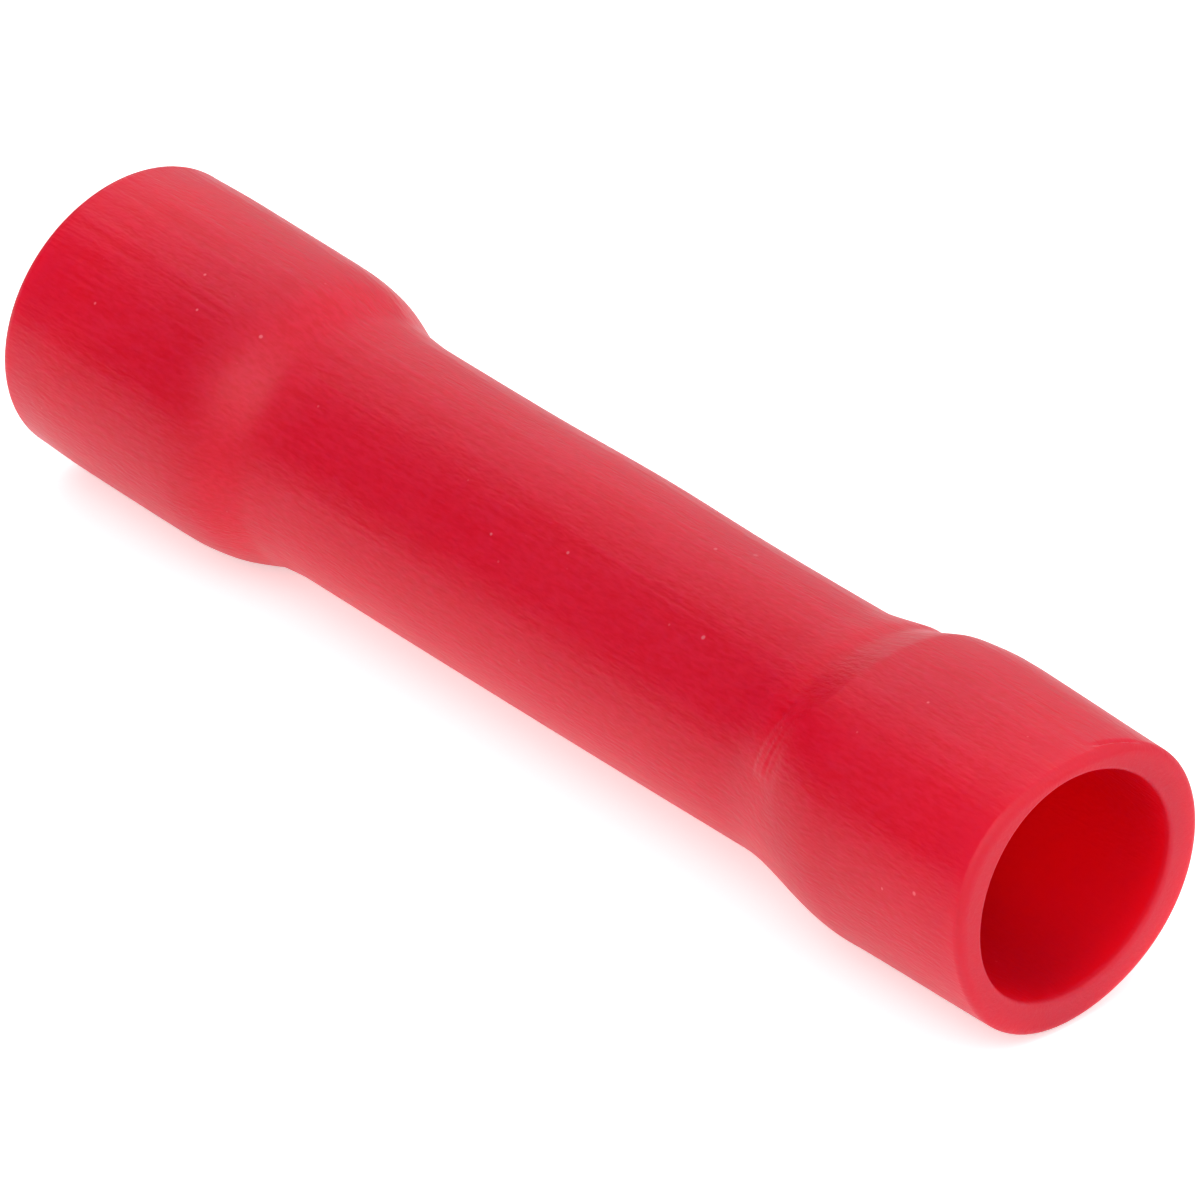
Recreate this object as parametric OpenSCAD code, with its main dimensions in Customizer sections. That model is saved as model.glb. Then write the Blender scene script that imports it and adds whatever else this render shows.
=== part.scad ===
// Insulated butt splice connector: a metal crimp barrel held in a necked vinyl sleeve.
// It lies on its side along X with the middle of its length at the origin.
// The near mouth faces +X and the far mouth faces -X. A profile's points are [radius, x].

/* [Barrel] */
// Length of the metal barrel
barrel_len = 12.4; // [10:0.1:16]
// Diameter of the barrel's bore, which takes a stripped wire
barrel_bore_d = 1.7; // [1.4:0.05:2]
// Thickness of the sheet that the barrel is rolled from
barrel_wall = 0.8; // [0.6:0.05:1]
// Width left at the seam where the rolled edges meet
seam_gap = 0.04; // [0.02:0.01:0.1]
// Radius that rounds the way into each end of the bore
lead_in = 0.25; // [0.1:0.05:0.4]
// Radius on the outer edge of each end
barrel_edge = 0.1; // [0.05:0.05:0.2]

/* [Grip grooves] */
// Grooves inside each half of the bore, which bite the wire
groove_count = 3; // [1:1:3]
// Distance from one groove to the next
groove_pitch = 1; // [0.6:0.1:1.1]
// Distance from the barrel's end to the first groove
groove_start = 1.3; // [0.8:0.1:1.6]
// Width of a groove where it opens on the bore
groove_width = 0.24; // [0.1:0.02:0.4]
// Depth of a groove
groove_depth = 0.08; // [0.04:0.01:0.16]

/* [Wire stop] */
// Depth of the dimple pressed into the middle of the barrel
stop_depth = 0.6; // [0.3:0.05:0.7]
// Width of the dimple at the barrel's outside
stop_d = 2; // [1.6:0.1:2.4]
// Depth that the wall round the dimple is drawn in
draw_depth = 0.08; // [0.04:0.01:0.12]
// Length of the wall that is drawn in
draw_len = 3.2; // [2.6:0.1:3.8]

/* [Sleeve] */
// Thickness of the vinyl over the barrel
sleeve_wall = 0.54; // [0.4:0.02:0.7]
// Clearance between the barrel and the waist that grips it
grip_clearance = 0.01; // [0:0.01:0.05]
// Length at each end of the barrel that lies beyond the straight waist
barrel_reach = 0.75; // [0:0.05:1]
// Outer diameter of the two bells
bell_d = 5.3; // [5:0.05:6]
// Diameter of the bore in each bell, which takes the wire's insulation
bell_bore_d = 4.1; // [3.8:0.05:4.4]
// Length of the straight part of the near bell
near_bell_len = 3.3; // [2:0.1:6]
// Length of the shoulder between the near bell and the waist
near_shoulder_len = 2.8; // [2:0.1:4]
// Length of the straight part of the far bell
far_bell_len = 4; // [2:0.1:6]
// Length of the shoulder between the far bell and the waist
far_shoulder_len = 2.4; // [2:0.1:4]

/* [Rims and wear] */
// Depth that the near rim is drawn in from the bell
rim_draw = 0.05; // [0:0.01:0.15]
// Radius on the outer edge of each rim
rim_edge = 0.12; // [0.04:0.02:0.2]
// Radius on the inner edge of each rim
rim_inner_edge = 0.08; // [0.04:0.02:0.16]
// Depth of the flat where the soft bells have settled on what they lie on
settled_flat = 0.05; // [0.03:0.01:0.1]
// Depth of the crease across the top of the near shoulder
crease_depth = 0.05; // [0.02:0.01:0.08]
// Radius of the crease's hollow
crease_r = 0.3; // [0.2:0.05:0.4]
// Distance from the near bell to the crease, along the shoulder
crease_place = 1.2; // [0.8:0.1:1.5]

/* [Hidden] */
$fn = 96;
curve_steps = 14;
corner_steps = 4;
overcut = 1;

barrel_bore_r = barrel_bore_d / 2;
barrel_r = barrel_bore_r + barrel_wall;
waist_bore_r = barrel_r + grip_clearance;
waist_r = waist_bore_r + sleeve_wall;
waist_len = barrel_len - 2 * barrel_reach;
bell_r = bell_d / 2;
bell_bore_r = bell_bore_d / 2;
sleeve_len = near_bell_len + near_shoulder_len + waist_len + far_shoulder_len + far_bell_len;

near_rim_x = sleeve_len / 2;
near_bell_x = near_rim_x - near_bell_len;
near_waist_x = near_bell_x - near_shoulder_len;
far_rim_x = -sleeve_len / 2;
far_bell_x = far_rim_x + far_bell_len;
far_waist_x = far_bell_x + far_shoulder_len;
barrel_x = (near_waist_x + far_waist_x) / 2;

// Sphere that makes the dimple, from the dimple's depth and its width
stop_r = (pow(stop_depth, 2) + pow(stop_d / 2, 2)) / (2 * stop_depth);
stop_z = barrel_r - stop_depth + stop_r;

// Radius of the near shoulder where the crease crosses it
crease_x = near_bell_x - crease_place;
crease_surface_r = waist_r + (bell_r - waist_r) * ease(1 - crease_place / near_shoulder_len);

// Smooth rise from 0 to 1 that starts and ends level
function ease(t) = (1 - cos(180 * t)) / 2;

// Curved shoulder from one radius and place to another
function shoulder(r0, x0, r1, x1) = [
    for (i = [0:curve_steps]) let (t = i / curve_steps)
        [r0 + (r1 - r0) * ease(t), x0 + (x1 - x0) * t]
];

// Quarter-circle corner about [r, x], which turns anticlockwise from the angle given
function corner(r, x, round, start) = [
    for (i = [0:corner_steps]) let (a = start + 90 * i / corner_steps)
        [r + round * cos(a), x + round * sin(a)]
];

// One V groove in the bore at x, listed towards -X
function groove(x) = [
    [barrel_bore_r, x + groove_width / 2],
    [barrel_bore_r + groove_depth, x],
    [barrel_bore_r, x - groove_width / 2]
];

// Wall of the bore from the near end to the far end, with its grooves and drawn-in middle
function bore_wall() = concat(
    [for (i = [0:groove_count - 1])
        each groove(barrel_len / 2 - groove_start - i * groove_pitch)],
    [[barrel_bore_r, draw_len / 2], [barrel_bore_r - draw_depth, 0], [barrel_bore_r, -draw_len / 2]],
    [for (i = [groove_count - 1:-1:0])
        each groove(-barrel_len / 2 + groove_start + i * groove_pitch)]
);

barrel_profile = concat(
    corner(barrel_r - barrel_edge, -barrel_len / 2 + barrel_edge, barrel_edge, -90),
    [[barrel_r, -draw_len / 2], [barrel_r - draw_depth, 0], [barrel_r, draw_len / 2]],
    corner(barrel_r - barrel_edge, barrel_len / 2 - barrel_edge, barrel_edge, 0),
    corner(barrel_bore_r + lead_in, barrel_len / 2 - lead_in, lead_in, 90),
    bore_wall(),
    corner(barrel_bore_r + lead_in, -barrel_len / 2 + lead_in, lead_in, 180)
);

sleeve_profile = concat(
    corner(bell_r - rim_edge, far_rim_x + rim_edge, rim_edge, -90),
    shoulder(bell_r, far_bell_x, waist_r, far_waist_x),
    shoulder(waist_r, near_waist_x, bell_r, near_bell_x),
    corner(bell_r - rim_draw - rim_edge, near_rim_x - rim_edge, rim_edge, 0),
    corner(bell_bore_r + rim_inner_edge, near_rim_x - rim_inner_edge, rim_inner_edge, 90),
    shoulder(bell_bore_r, near_bell_x, waist_bore_r, near_waist_x),
    shoulder(waist_bore_r, far_waist_x, bell_bore_r, far_bell_x),
    corner(bell_bore_r + rim_inner_edge, far_rim_x + rim_inner_edge, rim_inner_edge, 180)
);

// Solid turned about X from a profile
module turned(profile) {
    rotate([0, 90, 0]) rotate_extrude() polygon(profile);
}

// Slit left along the bottom of the barrel by rolling it from sheet
module seam() {
    translate([-barrel_len / 2 - overcut, -seam_gap / 2, -barrel_r - overcut])
        cube([barrel_len + 2 * overcut, seam_gap, barrel_r - barrel_bore_r / 2 + overcut]);
}

// Metal that the dimple pushes into the bore, on which both wires stop
module stop_bump() {
    intersection() {
        translate([0, 0, stop_z]) sphere(stop_r + barrel_wall);
        rotate([0, 90, 0]) cylinder(r = barrel_bore_r + barrel_wall / 2, h = 2 * stop_z, center = true);
    }
}

// Hollow groove that bites the top of the near shoulder and fades out down its sides
module crease() {
    translate([crease_x, 0, -crease_depth]) rotate([0, 90, 0])
        rotate_extrude() translate([crease_surface_r + crease_r, 0]) circle(crease_r);
}

// Space under the bells, down from the flat on which they lie
module settled_space() {
    translate([far_rim_x - overcut, -bell_r, -bell_r - overcut])
        cube([sleeve_len + 2 * overcut, bell_d, overcut + settled_flat]);
}

module insulation_sleeve() {
    color("crimson") difference() {
        turned(sleeve_profile);
        crease();
        settled_space();
    }
}

module crimp_barrel() {
    color("silver") translate([barrel_x, 0, 0]) difference() {
        union() {
            turned(barrel_profile);
            stop_bump();
        }
        translate([0, 0, stop_z]) sphere(stop_r);
        seam();
    }
}

insulation_sleeve();
crimp_barrel();
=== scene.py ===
"""Looks for an insulated butt splice: a red vinyl sleeve, necked on to a rolled barrel of tinned copper.

Lengths are worked out in millimetres, and MM turns them into metres. X runs along the part with the
near mouth at +X. Angles round it go from +Y towards +Z: in radians as angle, and otherwise in degrees.
"""

import math

import bpy
import numpy as np
from mathutils import Matrix


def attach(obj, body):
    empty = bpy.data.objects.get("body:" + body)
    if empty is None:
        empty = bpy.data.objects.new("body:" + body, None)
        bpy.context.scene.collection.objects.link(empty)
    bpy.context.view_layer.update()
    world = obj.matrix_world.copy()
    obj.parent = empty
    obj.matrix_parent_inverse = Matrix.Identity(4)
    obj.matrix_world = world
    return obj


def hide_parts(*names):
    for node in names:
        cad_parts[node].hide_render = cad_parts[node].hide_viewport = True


MM = 0.001
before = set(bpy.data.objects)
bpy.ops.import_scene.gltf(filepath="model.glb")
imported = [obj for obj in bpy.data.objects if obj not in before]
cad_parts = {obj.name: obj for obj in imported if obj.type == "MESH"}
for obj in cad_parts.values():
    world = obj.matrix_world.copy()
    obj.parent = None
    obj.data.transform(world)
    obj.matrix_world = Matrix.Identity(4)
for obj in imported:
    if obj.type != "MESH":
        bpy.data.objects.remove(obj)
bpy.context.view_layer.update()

# The sleeve's profile, in mm
HALF_LENGTH = 11.7
WAIST_R = 2.187
NEAR_BELL_R, FAR_BELL_R = 2.591, 2.600
NEAR_BELL_X, NEAR_WAIST_X = 8.25, 5.51
FAR_BELL_X, FAR_WAIST_X = -7.64, -5.30
NEAR_RIM_DRAW, NEAR_RIM_LENGTH = 0.065, 3.3
FAR_RIM_DRAW, FAR_RIM_LENGTH = 0.030, 1.35
BELL_BORE_R, GRIP_BORE_R = 2.016, 1.66
OUTER_EDGE_R, INNER_EDGE_R = 0.16, 0.07
FLAT_Z, FLAT_SOFTNESS = -2.60, 0.012

# The way that the soft tube has settled out of line, in mm
UPPER_SIDE = math.radians(46)
BOW_Y, BOW_Z = 0.002, -0.125
LIFT, LIFT_X, LIFT_LENGTH = 0.014, 6.6, 1.6
DROOP, DROOP_X, DROOP_LENGTH = -0.065, 8.6, 3.1

# The way that it has gone out of round: cosine and sine for each count of lobes, as shares of its radius
NEAR_OVAL = {2: (0.0230, 0.0056), 3: (0.0108, 0.0184), 4: (-0.0102, -0.0054)}
FAR_OVAL = {2: (0.0231, 0.0147), 3: (0.0056, 0.0011)}
BORE_OVAL = {1: (-0.0342, 0.0488), 2: (0.0015, -0.0017), 3: (0.0108, -0.0055), 4: (-0.0007, 0.0034)}

# Shoulders as straight slopes: where each starts, how steep it is and how soft its corner is, in mm
NEAR_TOP_STEPS = ((8.10, 0.08, 0.30), (7.46, 0.385, 0.06), (6.85, -0.16, 0.09), (6.56, 0.19, 0.08),
                  (5.70, 0, 0.12))
FAR_STEPS = ((-5.30, 0.09, 0.10), (-6.04, 0.385, 0.12), (-6.84, 0.13, 0.22), (-7.48, 0, 0.25))

# Corners of the near shoulder's front: place and shift in mm, then the shift's start and run in degrees
UPPER_CORNER = (7.46, 0.30, 118, 26)
LOWER_CORNER = (6.76, 0.10, 101, 20)
LOWER_RETURN = (126, 14)

# Turn from the steps of the tube's top to those of its front, and how fast the steps fade on its lower side
FRONT_ANGLE, FRONT_RUN = 48, 18
STEPPED_GAIN, STEPPED_LOSS = 2.2, 0.35

# Line of the crease where it ends on the front, and the folds beside it: height, width and lead, in mm
CREASE_X, CREASE_SHIFT, CREASE_ANGLE, CREASE_RUN = 6.84, -0.33, 118, 48
FOLDS = ((0.012, 0.055, 0.22), (0.008, 0.045, 0.38))
FOLD_WINDOW = (138, 12, 166, 8)
LIP_HEIGHT, LIP_STEEP, LIP_LENGTH = 0.026, 0.17, 0.50
LIP_WINDOW = (126, 14, 167, 7)

# Nick pared out of the near rim's outer edge, in mm and degrees, and its lip as a share of its depth
NICK_DEPTH, NICK_WIDTH, NICK_X, NICK_SLANT = 0.055, 0.055, 11.50, -0.006
NICK_ANGLE, NICK_SPREAD = 68.0, 9.0
NICK_LIP, NICK_LIP_LEAD = 0.5, 1.3

# Slight swelling of the waist over the barrel's stop, in mm
SWELL, SWELL_X, SWELL_WIDTH = 0.047, 0.22, 1.80

# Rows of the sleeve's grid: where each stretch starts along X, in mm, and its count of steps
OUTSIDE_ROWS = ((11.52, 15), (11.2, 9), (8.3, 10), (7.6, 14), (7.3, 12), (6.9, 28), (6.35, 8),
                (5.5, 20), (-5.1, 24), (-7.6, 12), (-11.2, 4), (-11.52, 0))
BORE_ROWS = ((-11.6, 6), (-8.2, 14), (-5.0, 12), (5.0, 16), (8.6, 6), (11.6, 0))
EDGE_ROWS = 8
GRID_ROUND = 384

# Specks of dust on the sleeve: place along X in mm, angle in degrees and radius in mm
SPECKS = ((3.45, 75.8, 0.055), (2.96, 87.0, 0.040), (8.85, 106.0, 0.030), (4.28, 127.2, 0.045),
          (1.00, 126.0, 0.035), (-0.54, 136.0, 0.032), (10.62, 168.8, 0.045), (9.90, 174.6, 0.032),
          (-6.77, 117.6, 0.042), (-8.54, 109.0, 0.032), (-8.10, 122.5, 0.030), (-9.97, 140.5, 0.030))

# Lines scored along the tube's front, shown only in its colour as painted highlights and painted shade:
# angle and half width in degrees, and strength
SHADED_LINES = ((128.8, 1.4, 1.0), (118.2, 1.2, 0.7))
LIT_LINES = ((120.2, 1.2, 1.0), (126.4, 1.4, 0.5))
LINE_CORE = 0.2

# Boxes and cards of the light tent: the way to each, and the degrees from it where it ends and is full
SOFT_BOX = ((0.06, -0.67, 0.74), 38, 10)
ROOF_BOX = ((0.66, 0.0, 0.75), 48, 16)
GREY_CARD = ((-0.30, 0.95, -0.05), 44, 8)
OPEN_FRONT = ((0.72, -0.68, 0.15), 50, 15)
TENT_LEVEL, SOFT_BOX_GAIN, ROOF_BOX_GAIN = 1.12, 1.45, 0.38
GREY_CARD_LOSS, OPEN_FRONT_LOSS = 0.45, 0.35

# Camera: place in mm, the ways of its right and up sides, and its lens
CAMERA_PLACE = (158.639, -139.670, 133.900)
CAMERA_RIGHT = (0.66153, 0.74992, 0.0)
CAMERA_UP = (-0.40187, 0.35450, 0.84429)
LENS, SENSOR_WIDTH = 465.0, 36.0


def rise(t):
    """Half a cosine wave from 0 to 1 as t goes from 0 to 1, level at both ends."""
    return (1 - np.cos(np.pi * np.clip(t, 0, 1))) / 2


def hump(t, centre, width):
    """Bell curve of height 1 about the centre: e to the minus square of the distance over the width."""
    return np.exp(-(((t - centre) / width) ** 2))


def window(degrees, start, fade_in, end, fade_out):
    """1 between two angles, with a rise after the first times a fall before the second."""
    return rise((degrees - start) / fade_in) * rise((end - degrees) / fade_out)


def oval(angle, waves):
    """Sum of a cosine and a sine for each count of lobes in waves."""
    return sum(c * np.cos(n * angle) + s * np.sin(n * angle) for n, (c, s) in waves.items())


def axis_offset(x):
    """Place of the tube's own centre in Y and Z: a parabola's bow, plus the near bell's lift and droop.

    The lift rises at the shoulder and fades to the rim, and the droop is a straight line to the rim."""
    bow = 1 - (x / HALF_LENGTH) ** 2
    to_rim = (x - DROOP_X) / DROOP_LENGTH
    lift = LIFT * rise((x - LIFT_X) / LIFT_LENGTH) * (1 - rise(to_rim)) + DROOP * np.clip(to_rim, 0, 1)
    return BOW_Y * bow + lift * math.cos(UPPER_SIDE), BOW_Z * bow + lift * math.sin(UPPER_SIDE)


def near_share(x):
    """0 on the waist and 1 on the near bell."""
    return rise((x - NEAR_WAIST_X) / (NEAR_BELL_X - NEAR_WAIST_X))


def far_share(x):
    """0 on the waist and 1 on the far bell."""
    return rise((x - FAR_WAIST_X) / (FAR_BELL_X - FAR_WAIST_X))


def soft_ramp(x, start, softness):
    """0 above the start and start - x below it, with a soft corner.

    It is half the sum of start - x and its softened size."""
    return (start - x + np.sqrt((start - x) ** 2 + softness**2)) / 2


def sloped(x, steps):
    """0 above the first step and 1 below the last.

    Each change of slope times a soft ramp is added up, and divided by the whole drop."""
    drop, whole, last = 0, 0, 0
    for (start, slope, softness), (end, _, _) in zip(steps, steps[1:] + steps[-1:]):
        drop = drop + (slope - last) * soft_ramp(x, start, softness)
        whole += slope * (start - end)
        last = slope
    return drop / whole


def near_front_steps(degrees):
    """Steps of the near shoulder's front, whose two corners shift towards the waist.

    The upper corner stays there, and the lower one comes back."""
    place, shift, start, run = UPPER_CORNER
    upper = place - shift * rise((degrees - start) / run)
    place, shift, start, run = LOWER_CORNER
    back, back_run = LOWER_RETURN
    lower = place - shift * rise((degrees - start) / run) * (1 - rise((degrees - back) / back_run))
    return (8.10, 0.07, 0.30), (upper, 0.43, 0.06), (lower, 0.05, 0.12), (6.46, 0.19, 0.12), (5.80, 0, 0.20)


def crease_folds(x, angle):
    """Ridges beside the crease's line, as bell curves, on a lip that drops steeply at the line itself."""
    degrees = np.degrees(angle)
    past = x - CREASE_X - CREASE_SHIFT * rise((degrees - CREASE_ANGLE) / CREASE_RUN)
    lip = rise(past / LIP_STEEP + 0.5) * (1 - rise((past - LIP_STEEP / 2) / LIP_LENGTH))
    folds = sum(height * hump(past, lead, width) for height, width, lead in FOLDS)
    return LIP_HEIGHT * lip * window(degrees, *LIP_WINDOW) + folds * window(degrees, *FOLD_WINDOW)


def rim_nick(x, angle):
    """Depth of a thin cut along the rim's edge, with the pared lip raised on its mouth side.

    It is one bell curve less a share of another, faded at both ends of the cut."""
    turned = np.degrees(angle) - NICK_ANGLE
    past = x - NICK_X - NICK_SLANT * turned
    cut = hump(past, 0, NICK_WIDTH) - NICK_LIP * hump(past, NICK_LIP_LEAD * NICK_WIDTH, NICK_WIDTH)
    return NICK_DEPTH * rise(1.5 - np.abs(turned / NICK_SPREAD)) * cut


def outer_radius(x, angle):
    """Waist radius plus each bell's share, the near shoulder stepped on its upper side, times the oval.

    The steps turn from those of the tube's top to those of its front. The crease's folds are added and the
    rim's nick is taken away."""
    upper = (1 + np.cos(angle - UPPER_SIDE)) / 2
    near_bell = NEAR_BELL_R - NEAR_RIM_DRAW * np.clip((x - NEAR_BELL_X) / NEAR_RIM_LENGTH, 0, 1)
    far_bell = FAR_BELL_R - FAR_RIM_DRAW * rise((FAR_RIM_LENGTH - HALF_LENGTH - x) / FAR_RIM_LENGTH)
    stepped = np.clip(STEPPED_GAIN * upper - STEPPED_LOSS, 0, 1)
    degrees = np.degrees(angle)
    front = rise((degrees - FRONT_ANGLE) / FRONT_RUN)
    drop = sloped(x, NEAR_TOP_STEPS) * (1 - front) + sloped(x, near_front_steps(degrees)) * front
    share = near_share(x) + (1 - drop - near_share(x)) * stepped
    radius = WAIST_R + (near_bell - WAIST_R) * share + (far_bell - WAIST_R) * sloped(x, FAR_STEPS)
    radius = radius + SWELL * upper * hump(x, SWELL_X, SWELL_WIDTH)
    radius = radius * (1 + near_share(x) * oval(angle, NEAR_OVAL) + far_share(x) * oval(angle, FAR_OVAL))
    return radius + crease_folds(x, angle) - rim_nick(x, angle)


def open_share(x):
    """0 where the bore grips the barrel and 1 in the bells."""
    return near_share(x) + far_share(x)


def bore_radius(x, angle):
    """Bore of the barrel's grip, opened out to the bells' bore over the same shoulders, times its oval."""
    radius = GRIP_BORE_R + (BELL_BORE_R - GRIP_BORE_R) * open_share(x)
    return radius * (1 + open_share(x) * oval(angle, BORE_OVAL))


def lowered_flat(z):
    """Height kept above the flat with a soft corner: half the sum of z - flat and its softened size."""
    over = z - FLAT_Z
    return FLAT_Z + (over + np.sqrt(over**2 + FLAT_SOFTNESS**2)) / 2


def spread(stops):
    """Evenly spaced values between the stops, with the count of steps given for each stretch."""
    parts = [np.linspace(a, b, n, endpoint=False) for (a, n), (b, _) in zip(stops, stops[1:])]
    return np.concatenate(parts + [[stops[-1][0]]])


def new_object(name, points, quads):
    """Object at the origin with the mesh of the points, in mm, and the quads between them."""
    mesh = bpy.data.meshes.new(name)
    mesh.from_pydata(points.reshape(-1, 3) * MM, [], quads.reshape(-1, 4))
    made = bpy.data.objects.new(name, mesh)
    bpy.context.scene.collection.objects.link(made)
    return made


def closed_grid(name, points):
    """Smooth surface of a grid of points [row, column] that closes on itself both ways, as a ring does."""
    rows, columns = points.shape[:2]
    index = np.arange(rows * columns).reshape(rows, columns)
    right, down = np.roll(index, -1, 1), np.roll(index, -1, 0)
    made = new_object(name, points, np.stack([index, down, np.roll(right, -1, 0), right], -1))
    made.data.polygons.foreach_set("use_smooth", np.ones(rows * columns, dtype=bool))
    made.data.update()
    return made


def rim_loop(end, angle):
    """The wall's end as a profile from outside to inside: its outer edge, flat face and inner edge.

    Rows are [x, radius]. The outer edge leaves the outer radius at each row's own x by one less the cosine,
    and the inner edge leaves the bore in the same way. The face is a straight line between them."""
    turn = np.radians(np.linspace(0, 90, EDGE_ROWS))[:, None]
    outer_x = (HALF_LENGTH - OUTER_EDGE_R * (1 - np.sin(turn)) + 0 * angle) * end
    outer_r = outer_radius(outer_x, angle) - OUTER_EDGE_R * (1 - np.cos(turn))
    inner_x = (HALF_LENGTH - INNER_EDGE_R * (1 - np.cos(turn)) + 0 * angle) * end
    inner_r = bore_radius(inner_x, angle) + INNER_EDGE_R * (1 - np.sin(turn))
    across = np.linspace(0, 1, EDGE_ROWS)[1:-1, None]
    face_x = (HALF_LENGTH + 0 * across + 0 * angle) * end
    face_r = outer_r[-1] * (1 - across) + inner_r[0] * across
    return np.concatenate([outer_x, face_x, inner_x]), np.concatenate([outer_r, face_r, inner_r])


def vinyl_sleeve():
    """Profile loop (outside, far rim, bore, near rim) carried round the axis, as one closed surface."""
    angle = np.linspace(0, 2 * np.pi, GRID_ROUND, endpoint=False)[None, :]
    outside_x = spread(OUTSIDE_ROWS)[:, None] + 0 * angle
    bore_x = spread(BORE_ROWS)[:, None] + 0 * angle
    far_x, far_r = rim_loop(-1, angle)
    near_x, near_r = rim_loop(1, angle)
    outside_r, bore_r = outer_radius(outside_x, angle), bore_radius(bore_x, angle)
    x = np.concatenate([outside_x, far_x, bore_x, near_x[::-1]])
    radius = np.concatenate([outside_r, far_r, bore_r, near_r[::-1]])
    settled = np.ones_like(x)
    first = len(outside_x) + len(far_x)
    settled[first:first + len(bore_x)] = open_share(bore_x)
    centre_y, centre_z = axis_offset(x)
    y = centre_y * settled + radius * np.cos(angle)
    z = lowered_flat(centre_z * settled + radius * np.sin(angle))
    return closed_grid("sleeve_skin", np.stack([x, y, z], -1))


class Signal:
    """One output of a finish's nodes. Adding, multiplying and the like make the Math nodes that do it."""

    def __init__(self, finish, socket):
        self.finish, self.socket = finish, socket

    def _math(self, operation, first, second=None):
        values = [first] if second is None else [first, second]
        return self.finish.node("ShaderNodeMath", {"operation": operation}, values)[0]

    def __add__(self, other):
        return self._math("ADD", self, other)

    def __sub__(self, other):
        return self._math("SUBTRACT", self, other)

    def __rsub__(self, other):
        return self._math("SUBTRACT", other, self)

    def __mul__(self, other):
        return self._math("MULTIPLY", self, other)

    def __truediv__(self, other):
        return self._math("DIVIDE", self, other)

    def __pow__(self, other):
        return self._math("POWER", self, other)

    def __abs__(self):
        return self._math("ABSOLUTE", self)

    def most(self, other):
        return self._math("MAXIMUM", self, other)

    __radd__, __rmul__ = __add__, __mul__

    def between(self, start, end):
        """0 up to start and 1 from end on, on a smooth curve; start may be the greater."""
        low, high, ends = (start, end, (0, 1)) if start < end else (end, start, (1, 0))
        inputs = {"Value": self, "From Min": low, "From Max": high, "To Min": ends[0], "To Max": ends[1]}
        return self.finish.node("ShaderNodeMapRange", {"interpolation_type": "SMOOTHSTEP"}, inputs)[0]


class Finish:
    """A node tree being built, for a material or for the world."""

    def __init__(self, owner):
        owner.use_nodes = True
        self.tree = owner.node_tree
        self.tree.nodes.clear()

    def node(self, kind, settings=None, inputs=None):
        """Adds a node. Settings come first, then its inputs by place or by name; gives its outputs."""
        made = self.tree.nodes.new(kind)
        for key, value in (settings or {}).items():
            setattr(made, key, value)
        pairs = inputs.items() if isinstance(inputs, dict) else enumerate(inputs or [])
        for key, value in pairs:
            self.feed(made.inputs[key], value)
        return [Signal(self, socket) for socket in made.outputs]

    def feed(self, socket, value):
        if isinstance(value, Signal):
            self.tree.links.new(value.socket, socket)
        else:
            socket.default_value = value

    def places(self):
        """Object coordinates in mm, as the vector and its three parts."""
        spot = self.node("ShaderNodeTexCoord")[3]
        scale = {"Vector": spot, "Scale": 1 / MM}
        in_mm = self.node("ShaderNodeVectorMath", {"operation": "SCALE"}, scale)[0]
        return [in_mm] + self.node("ShaderNodeSeparateXYZ", None, [in_mm])

    def rays(self):
        """1 or 0 for each kind of ray: the camera's own, diffuse, glossy and through glass."""
        path = self.node("ShaderNodeLightPath")
        return path[0], path[2], path[3], path[6]

    def noise(self, where, stretch, detail, roughness=0.5, shift=(0, 0, 0)):
        """Noise with the given number of features per mm along X, Y and Z; 0.5 on average."""
        place = {"Vector": where, "Scale": stretch, "Location": shift}
        spot = self.node("ShaderNodeMapping", None, place)[0]
        inputs = {"Vector": spot, "Scale": 1.0, "Detail": detail, "Roughness": roughness}
        return self.node("ShaderNodeTexNoise", {"normalize": True}, inputs)[0]

    def blend(self, share, first, second):
        """Colour that goes from the first to the second as share goes from 0 to 1."""
        settings = {"data_type": "RGBA", "blend_type": "MIX"}
        return self.node("ShaderNodeMix", settings, {0: share, 6: first, 7: second})[2]

    def bump(self, height, distance_mm):
        inputs = {"Strength": 1.0, "Distance": distance_mm * MM, "Height": height}
        return self.node("ShaderNodeBump", None, inputs)[0]

    def surface(self, inputs):
        shader = self.node("ShaderNodeBsdfPrincipled", None, inputs)[0]
        self.node("ShaderNodeOutputMaterial", None, {"Surface": shader})


def colour(red, green, blue):
    return (red, green, blue, 1.0)


# Dark and pale reds of the vinyl, the pale ones partly painted sheen: painted shade makes the loose bells
# darker than the waist over bright metal, against light through their hollow walls
SHADED_BELL_DARK, SHADED_BELL_PALE = colour(0.560, 0.0012, 0.0165), colour(0.625, 0.0080, 0.036)
WAIST_DARK, WAIST_PALE = colour(0.665, 0.0012, 0.0165), colour(0.745, 0.0080, 0.036)
RIM_RED, CUT_RED = colour(0.500, 0.0055, 0.032), colour(0.45, 0.012, 0.033)
# The bore's reds hold painted light and shade: paler deep inside, where less light reaches, and darker by
# the mouth
SHADED_MOUTH_RED, LIT_DEEP_BORE_RED = colour(0.53, 0.002, 0.014), colour(0.64, 0.0008, 0.016)
DUST_PINK = colour(0.85, 0.22, 0.25)

# How far red, green and blue light scatter in the vinyl, as shares of the red's, and the depth of its grain
SCATTER_SHARES, SCATTER_MM, VINYL_GRAIN_MM = (1.0, 0.08, 0.08), 2.6, 0.006

TIN_DARK, TIN_PALE = colour(0.60, 0.60, 0.58), colour(0.80, 0.79, 0.77)
BARE_COPPER = colour(0.78, 0.50, 0.36)
TIN_GRAIN_MM = 0.003

WHITE = colour(1, 1, 1)
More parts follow.
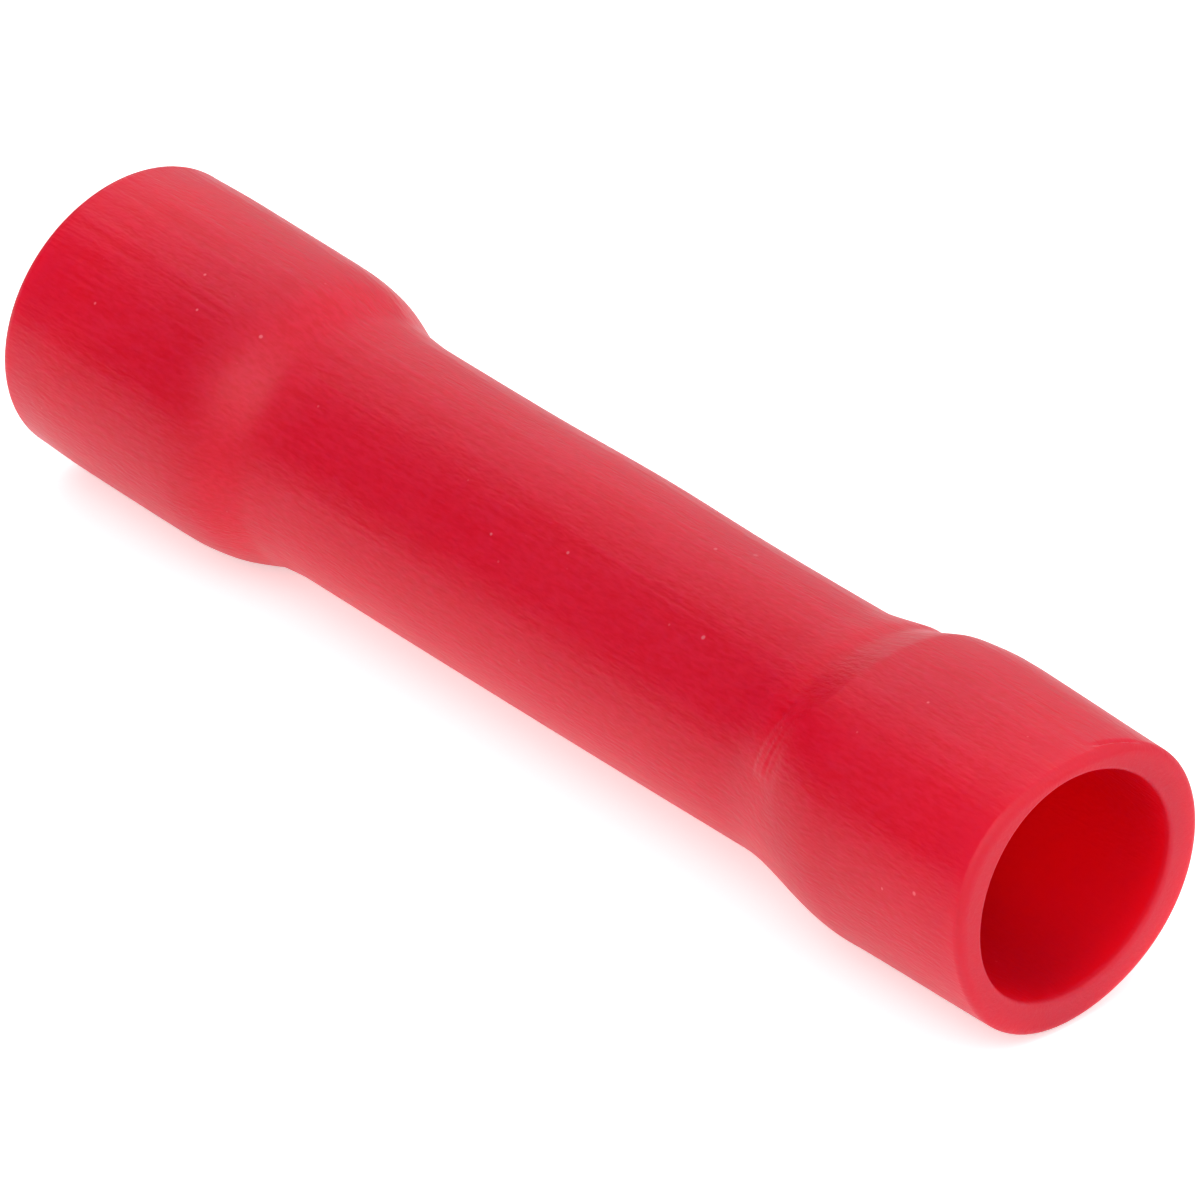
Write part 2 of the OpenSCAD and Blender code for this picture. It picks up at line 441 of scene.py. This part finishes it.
# The sheet's grey further off is painted shade, seen only in reflections and bounced light
SHEET_WHITE, SHEET_SHADE_AWAY = colour(0.97, 0.97, 0.97), colour(0.30, 0.30, 0.30)
SHEET_HALF_WIDTH, SHEET_SQUARES = 1500, 24


def line_marks(round_it, lines):
    """Sum of lines along the tube, each fading from its middle to its half width on either side."""
    return sum(strength * abs(round_it - place).between(width, LINE_CORE)
               for place, width, strength in lines)


def dust_on(finish, spot):
    """Scattered fine dust, and each named speck as a small ball about its place on the tube's outside."""
    cells = finish.node("ShaderNodeTexVoronoi", {"feature": "F1"}, {"Vector": spot, "Scale": 1.5})
    dust = 0.5 * cells[0].between(0.040, 0.022)
    for along, around, size in SPECKS:
        turn = math.radians(around)
        centre = [float(part) for part in axis_offset(along)]
        reach = float(outer_radius(along, turn))
        middle = (along, centre[0] + reach * math.cos(turn), centre[1] + reach * math.sin(turn))
        apart = finish.node("ShaderNodeVectorMath", {"operation": "DISTANCE"}, [spot, middle])[1]
        dust = dust.most(apart.between(1.1 * size, 0.4 * size))
    return dust


def red_vinyl():
    """Soft translucent red vinyl with fine drawing streaks along the tube, faint clouds and a little dust.

    The bells are painted darker than the waist over metal, as painted shade against the light through their
    hollow walls; in the bore it is a deeper red, with painted light deep inside and painted shade at the
    mouth, and it is paler again on the cut ends."""
    material = bpy.data.materials.new("red_vinyl_finish")
    finish = Finish(material)
    spot, x, y, z = finish.places()
    from_axis = (y * y + z * z) ** 0.5
    outside = (from_axis - 0.4 * abs(x).between(5.5, 7.6)).between(1.87, 1.93)
    # Share of the waist, which is spared the bells' painted shade
    unshaded_waist = abs(x - 0.15).between(7.4, 6.2) * outside
    cut_face = abs(x).between(11.52, 11.62)
    upper = (z * 0.7 + y * 0.3).between(-1.6, 1.4)
    far_end = x.between(1.0, -8.0)

    streaks = finish.noise(spot, (0.8, 11.0, 11.0), 1.0)
    broken = finish.noise(spot, (0.6, 2.2, 2.2), 0.0, shift=(3, 7, 1)).between(0.35, 0.62)
    grain = finish.noise(spot, (5.0, 16.0, 16.0), 1.0, 0.6)
    clouds = finish.noise(spot, (0.35, 0.5, 0.5), 1.0, shift=(9, 2, 5))
    scored = finish.noise(spot, (0.03, 5.6, 5.6), 0.0, shift=(5, 1, 8))
    round_it = finish.node("ShaderNodeMath", {"operation": "ARCTAN2"}, [z, y])[0] * (180 / math.pi)
    # Painted highlights of the lit lines less the painted shade of the dark ones
    line_light_and_shade = line_marks(round_it, LIT_LINES) - line_marks(round_it, SHADED_LINES)
    dust = dust_on(finish, spot)

    # The streaks and scored lines are real relief, stronger on the upper side; their tint in the colour
    # below is partly painted sheen where the light falls from above
    streak_share = outside * (1 - cut_face) * (0.30 + 0.70 * upper) * (0.40 + 0.60 * broken)
    streak_share = streak_share * (0.76 + 0.26 * far_end)
    lines = 0.45 * (scored - 0.5) + 0.25 * line_light_and_shade * (0.5 + 0.5 * broken)
    depth = 0.5 + 0.5 * (clouds - 0.5) + streak_share * (1.8 * (streaks - 0.5) + lines)
    depth = depth + 1.5 * outside * (grain - 0.5)

    # Painted shade on the bells: darker reds there than on the waist
    dark = finish.blend(unshaded_waist, SHADED_BELL_DARK, WAIST_DARK)
    pale = finish.blend(unshaded_waist, SHADED_BELL_PALE, WAIST_PALE)
    # The pale reds are partly the vinyl's uneven tone, with the clouds, and partly painted sheen along the
    # streaks and grain, standing in for glints of gloss
    drawn_and_sheen = finish.blend(depth.between(-0.1, 1.1), dark, pale)
    wall = finish.blend(abs(x).between(10.3, 11.5) * 0.6, drawn_and_sheen, RIM_RED)
    # Painted light deep in the bore and painted shade towards the mouth
    bore = finish.blend(abs(x).between(11.3, 9.4), SHADED_MOUTH_RED, LIT_DEEP_BORE_RED)
    body = finish.blend(outside.most(cut_face), bore, wall)
    cut = finish.blend(cut_face * 0.8, body, CUT_RED)

    rough = 0.36 + 0.10 * (grain - 0.5) + 0.15 * streak_share * (streaks - 0.5)
    relief = (streaks * 1.7 + scored * 1.8) * streak_share + grain * 1.5
    finish.surface({
        "Base Color": finish.blend(dust * 0.5, cut, DUST_PINK),
        "Roughness": rough + 0.12 * cut_face + 0.2 * dust,
        "Specular IOR Level": 0.27,
        "IOR": 1.5,
        "Subsurface Weight": 1.0,
        "Subsurface Radius": SCATTER_SHARES,
        "Subsurface Scale": SCATTER_MM * MM,
        "Normal": finish.bump(relief, VINYL_GRAIN_MM),
    })
    return material


def tinned_copper():
    """Dull bright tin, brushed along the barrel by rolling, with copper showing through at worn spots."""
    material = bpy.data.materials.new("tinned_copper_finish")
    finish = Finish(material)
    spot = finish.places()[0]
    lines = finish.noise(spot, (0.6, 14.0, 14.0), 3.0)
    clouds = finish.noise(spot, (0.8, 0.8, 0.8), 4.0, 0.6)
    pits = finish.noise(spot, (6.0, 6.0, 6.0), 2.0)
    tin = finish.blend(clouds, TIN_DARK, TIN_PALE)
    worn = (clouds * 0.6 + lines * 0.4).between(0.60, 0.72)
    finish.surface({
        "Base Color": finish.blend(worn * 0.35, tin, BARE_COPPER),
        "Metallic": 1.0,
        "Roughness": 0.26 + 0.18 * lines + 0.10 * pits,
        "Normal": finish.bump(lines * 0.7 + pits * 0.5, TIN_GRAIN_MM),
    })
    return material


def studio_floor(height_mm):
    """Wide level sheet under the part: a square grid of flat points.

    It is white to the camera all over. In other rays it is white near the part and grey further off, as
    painted shade, and close beside the part it lifts the part's underside a little."""
    side = np.linspace(-SHEET_HALF_WIDTH, SHEET_HALF_WIDTH, SHEET_SQUARES + 1)
    x, y = np.meshgrid(side, side, indexing="ij")
    index = np.arange(x.size).reshape(x.shape)
    quads = np.stack([index[:-1, :-1], index[1:, :-1], index[1:, 1:], index[:-1, 1:]], -1)
    floor = new_object("studio_floor", np.stack([x, y, np.full_like(x, height_mm)], -1), quads)
    material = bpy.data.materials.new("white_sheet")
    finish = Finish(material)
    x, y = finish.places()[1:3]
    away = abs(y - 1).between(9, 38).most(x.between(-20, -50))
    near_by = abs(y - 1).between(9, 3.5)
    camera, diffuse, glossy, through = finish.rays()
    lift = camera.most(through) * (0.48 + 0.60 * away) + 0.22 * diffuse.most(glossy) * near_by
    tone = finish.blend(away, SHEET_WHITE, SHEET_SHADE_AWAY)
    sheet = finish.node("ShaderNodeBsdfDiffuse", None, {"Color": tone})[0]
    glow = finish.node("ShaderNodeEmission", None, {"Color": WHITE, "Strength": lift})[0]
    both = finish.node("ShaderNodeAddShader", None, [sheet, glow])[0]
    finish.node("ShaderNodeOutputMaterial", None, {"Surface": both})
    floor.data.materials.append(material)


def patch(finish, toward, direction, outside, inside):
    """1 within the inside angle of a direction and 0 beyond the outside one, in degrees."""
    size = math.sqrt(sum(part * part for part in direction))
    unit = tuple(part / size for part in direction)
    along = finish.node("ShaderNodeVectorMath", {"operation": "DOT_PRODUCT"}, [toward, unit])[1]
    apart = finish.node("ShaderNodeMath", {"operation": "ARCCOSINE"}, [along])[0]
    return apart.between(math.radians(outside), math.radians(inside))


def studio_light():
    """White light tent with soft boxes above the front and the near end, and dark cards opposite.

    One dark card runs along the front, 30 degrees up, and one stands at the far end. A grey card stands
    behind, and the tent's open front by the near mouth is a little dimmer. The camera sees plain white."""
    world = bpy.data.worlds.new("light_tent")
    bpy.context.scene.world = world
    finish = Finish(world)
    toward = finish.node("ShaderNodeTexCoord")[0]
    x, y, z = finish.node("ShaderNodeSeparateXYZ", None, [toward])
    raised = (z * 0.5 - y * math.sqrt(0.75)) / (y * y + z * z) ** 0.5
    long_card = raised.between(0.26, 0.90) * x.between(-0.26, -0.50)
    end_card = x.between(-0.78, -0.94) * y.between(0.62, 0.30)
    soft_box, roof_box = patch(finish, toward, *SOFT_BOX), patch(finish, toward, *ROOF_BOX)
    grey_card, open_front = patch(finish, toward, *GREY_CARD), patch(finish, toward, *OPEN_FRONT)
    level = TENT_LEVEL + SOFT_BOX_GAIN * soft_box + ROOF_BOX_GAIN * roof_box
    level = level * (1 - GREY_CARD_LOSS * grey_card) * (1 - OPEN_FRONT_LOSS * open_front)
    level = level * (1 - long_card.most(end_card))
    camera = finish.rays()[0]
    strength = level * (1 - camera) + camera
    light = finish.node("ShaderNodeBackground", None, {"Color": WHITE, "Strength": strength})[0]
    finish.node("ShaderNodeOutputWorld", None, {"Surface": light})


def photo_camera():
    """Long lens above and to the near side of the mouth, aimed at the middle of the part."""
    camera = bpy.data.cameras.new("camera")
    camera.lens, camera.sensor_width = LENS, SENSOR_WIDTH
    camera.clip_start, camera.clip_end = 0.01, 10.0
    holder = bpy.data.objects.new("camera", camera)
    bpy.context.scene.collection.objects.link(holder)
    right, up = np.array(CAMERA_RIGHT), np.array(CAMERA_UP)
    turn = Matrix(np.stack([right, up, np.cross(right, up)], -1).tolist()).to_4x4()
    holder.matrix_world = Matrix.Translation([part * MM for part in CAMERA_PLACE]) @ turn
    bpy.context.scene.camera = holder


bpy.context.scene.view_settings.view_transform = "Standard"
photo_camera()
studio_light()
studio_floor(FLAT_Z)

sleeve = vinyl_sleeve()
sleeve.data.materials.append(red_vinyl())
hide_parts("insulation_sleeve")
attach(sleeve, "root")

tinned = tinned_copper()
for held_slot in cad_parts["crimp_barrel"].material_slots:
    held_slot.material = tinned
